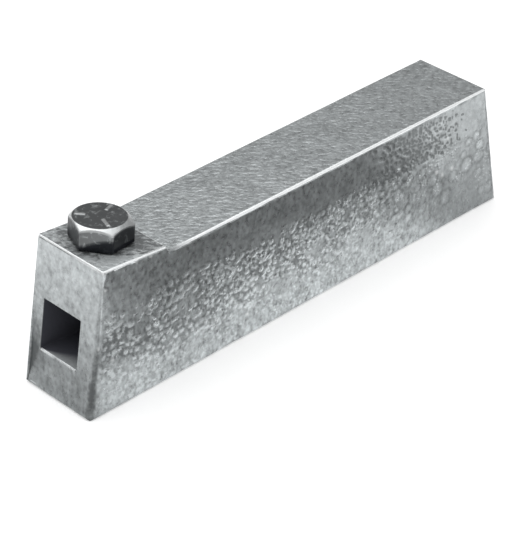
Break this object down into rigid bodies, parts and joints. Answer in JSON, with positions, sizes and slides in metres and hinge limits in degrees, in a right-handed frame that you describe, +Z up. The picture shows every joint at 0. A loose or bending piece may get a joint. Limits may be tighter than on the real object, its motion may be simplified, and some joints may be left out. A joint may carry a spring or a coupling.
{
  "type": "straight tool bit holder",
  "caption": "Straight lathe holder for a square tool bit: a cast block shank with leaning ends, a square socket in the nose and a hexagon head clamp screw on a low sloping pad.",
  "frame": {"origin": "middle of the foot, on the surface that the shank rests on", "axes": "-X is the nose with the bit socket, +X is the heel, -Y is the side that the picture shows, +Z is up"},
  "size_m": [0.1489, 0.0244, 0.0467],
  "materials": {
    "cast_skin": "bright grey cast skin with a fine pebbled surface, satin",
    "screw_steel": "dark plated steel with a bright bevel, satin"
  },
  "bodies": {
    "holder": {"holder_body": "cast_skin"},
    "screw": {"clamp_screw": "screw_steel"}
  },
  "joints": [
    {"name": "screw_travel", "type": "slide", "parent": "holder", "child": "screw", "axis": [0.0872, 0, 0.9962], "range_m": [0, 0.011]}
  ]
}
